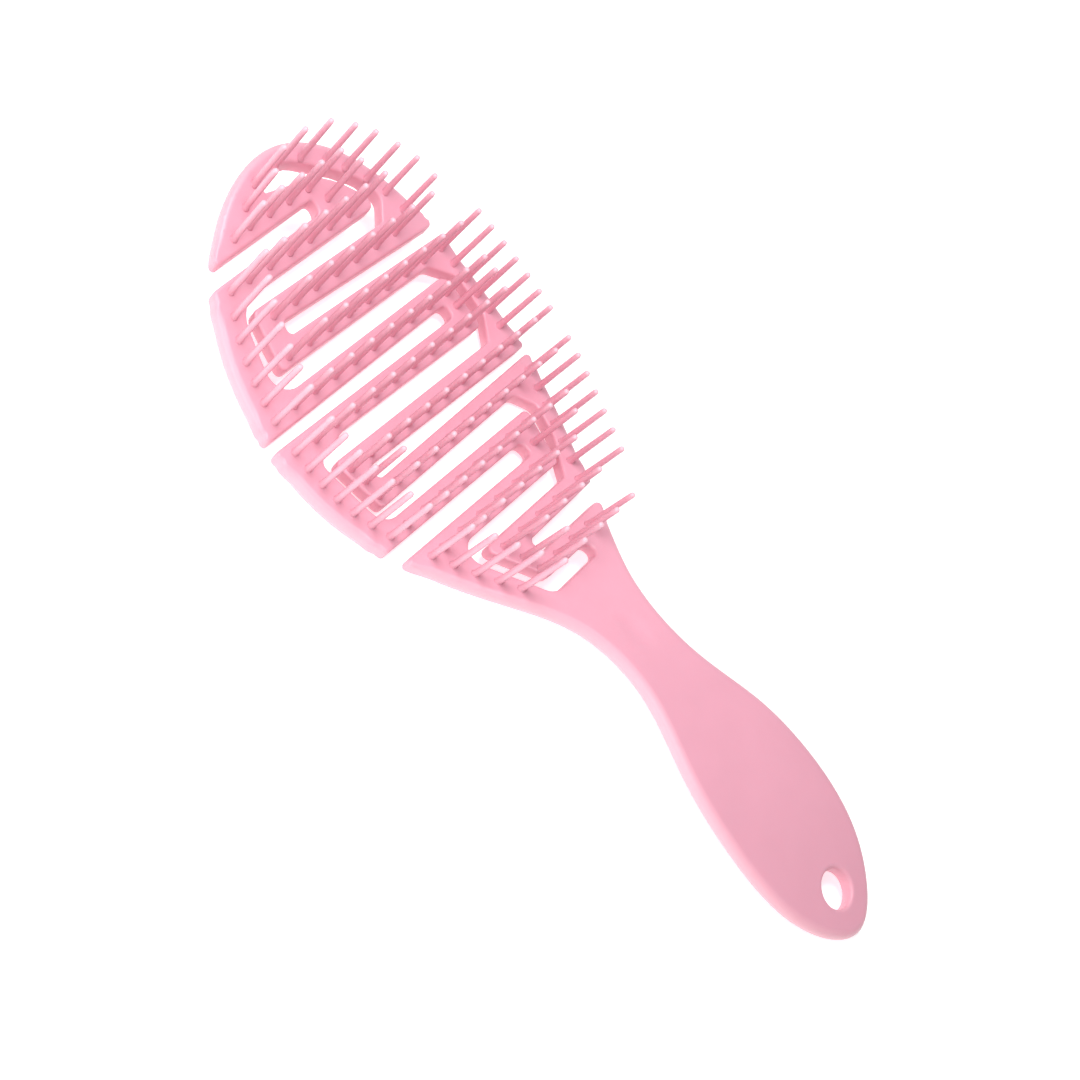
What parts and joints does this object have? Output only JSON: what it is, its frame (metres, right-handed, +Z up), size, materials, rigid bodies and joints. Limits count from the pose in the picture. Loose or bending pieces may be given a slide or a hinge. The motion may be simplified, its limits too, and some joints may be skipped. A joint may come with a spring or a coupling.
{
  "type": "vented detangling hair brush",
  "caption": "Flat vented hair brush: a thin curved plate cut into two springy interlocked combs, rows of slender pins, and a slim handle with a hang hole.",
  "frame": {"origin": "under the middle of the brush's length and width, in the plane that it rests on when it lies on its back", "axes": "+Y from the handle's end to the tip, +Z up along the pins, +X to the right seen from the pin side with the tip away"},
  "size_m": [0.084, 0.2404, 0.0404],
  "materials": {
    "plate_plastic": "satin moulded pink plastic",
    "pin_plastic": "satin moulded pink plastic, slightly translucent where thin"
  },
  "bodies": {
    "grip": {"handle": "plate_plastic", "left_shoulder": "plate_plastic", "right_shoulder": "plate_plastic", "slat_10": "plate_plastic", "slat_12": "plate_plastic", "bend_l3_lower": "plate_plastic", "bend_r3_lower": "plate_plastic", "pins_left_shoulder": "pin_plastic", "pins_slat_10": "pin_plastic", "pins_slat_12": "pin_plastic"},
    "left_lower": {"left_rail_lower": "plate_plastic", "slat_06": "plate_plastic", "slat_09": "plate_plastic", "bend_l2_lower": "plate_plastic", "bend_l3_upper": "plate_plastic", "pins_left_rail_lower": "pin_plastic", "pins_slat_06": "pin_plastic", "pins_slat_09": "pin_plastic", "pin_bend_l3": "pin_plastic"},
    "left_upper": {"left_rail_upper": "plate_plastic", "slat_02": "plate_plastic", "slat_05": "plate_plastic", "bend_l1_lower": "plate_plastic", "bend_l2_upper": "plate_plastic", "pins_left_rail_upper": "pin_plastic", "pins_slat_02": "pin_plastic", "pins_slat_05": "pin_plastic", "pin_bend_l2": "pin_plastic"},
    "cap": {"cap_rim": "plate_plastic", "slat_01": "plate_plastic", "slat_03": "plate_plastic", "bend_l1_upper": "plate_plastic", "bend_r1_upper": "plate_plastic", "pins_cap_rim": "pin_plastic", "pins_slat_01": "pin_plastic", "pins_slat_03": "pin_plastic", "pin_bend_l1": "pin_plastic"},
    "right_lower": {"right_rail_lower": "plate_plastic", "slat_08": "plate_plastic", "slat_11": "plate_plastic", "bend_r2_lower": "plate_plastic", "bend_r3_upper": "plate_plastic", "pins_right_rail_lower": "pin_plastic", "pins_slat_08": "pin_plastic", "pins_slat_11": "pin_plastic", "pin_bend_r3": "pin_plastic"},
    "right_upper": {"right_rail_upper": "plate_plastic", "slat_04": "plate_plastic", "slat_07": "plate_plastic", "bend_r1_lower": "plate_plastic", "bend_r2_upper": "plate_plastic", "pins_right_rail_upper": "pin_plastic", "pins_slat_04": "pin_plastic", "pins_slat_07": "pin_plastic", "pin_bend_r2": "pin_plastic"}
  },
  "joints": [
    {"name": "left_lower_flex", "type": "hinge", "parent": "grip", "child": "left_lower", "pos_m": [0, 0.02445, 0.00302], "axis": [1, 0, 0], "range_deg": [-6, 6], "stiffness_Nm_per_rad": 0.8},
    {"name": "left_upper_flex", "type": "hinge", "parent": "left_lower", "child": "left_upper", "pos_m": [0, 0.06385, 0.00386], "axis": [1, 0, 0], "range_deg": [-4.37, 4.37]},
    {"name": "cap_flex", "type": "hinge", "parent": "left_upper", "child": "cap", "pos_m": [0, 0.10235, 0.01439], "axis": [1, 0, 0], "range_deg": [-2.71, 2.71]},
    {"name": "right_lower_flex", "type": "hinge", "parent": "grip", "child": "right_lower", "pos_m": [0, 0.00485, 0.00622], "axis": [1, 0, 0], "range_deg": [-2.75, 2.75]},
    {"name": "right_upper_flex", "type": "hinge", "parent": "right_lower", "child": "right_upper", "pos_m": [0, 0.04375, 0.00223], "axis": [1, 0, 0], "range_deg": [-4.34, 4.34]}
  ],
  "couplings": [
    {"joint": "left_upper_flex", "follows": "left_lower_flex", "ratio": 0.7263},
    {"joint": "cap_flex", "follows": "left_lower_flex", "ratio": 0.4498},
    {"joint": "right_lower_flex", "follows": "left_lower_flex", "ratio": 0.4555},
    {"joint": "right_upper_flex", "follows": "left_lower_flex", "ratio": 0.7212}
  ]
}
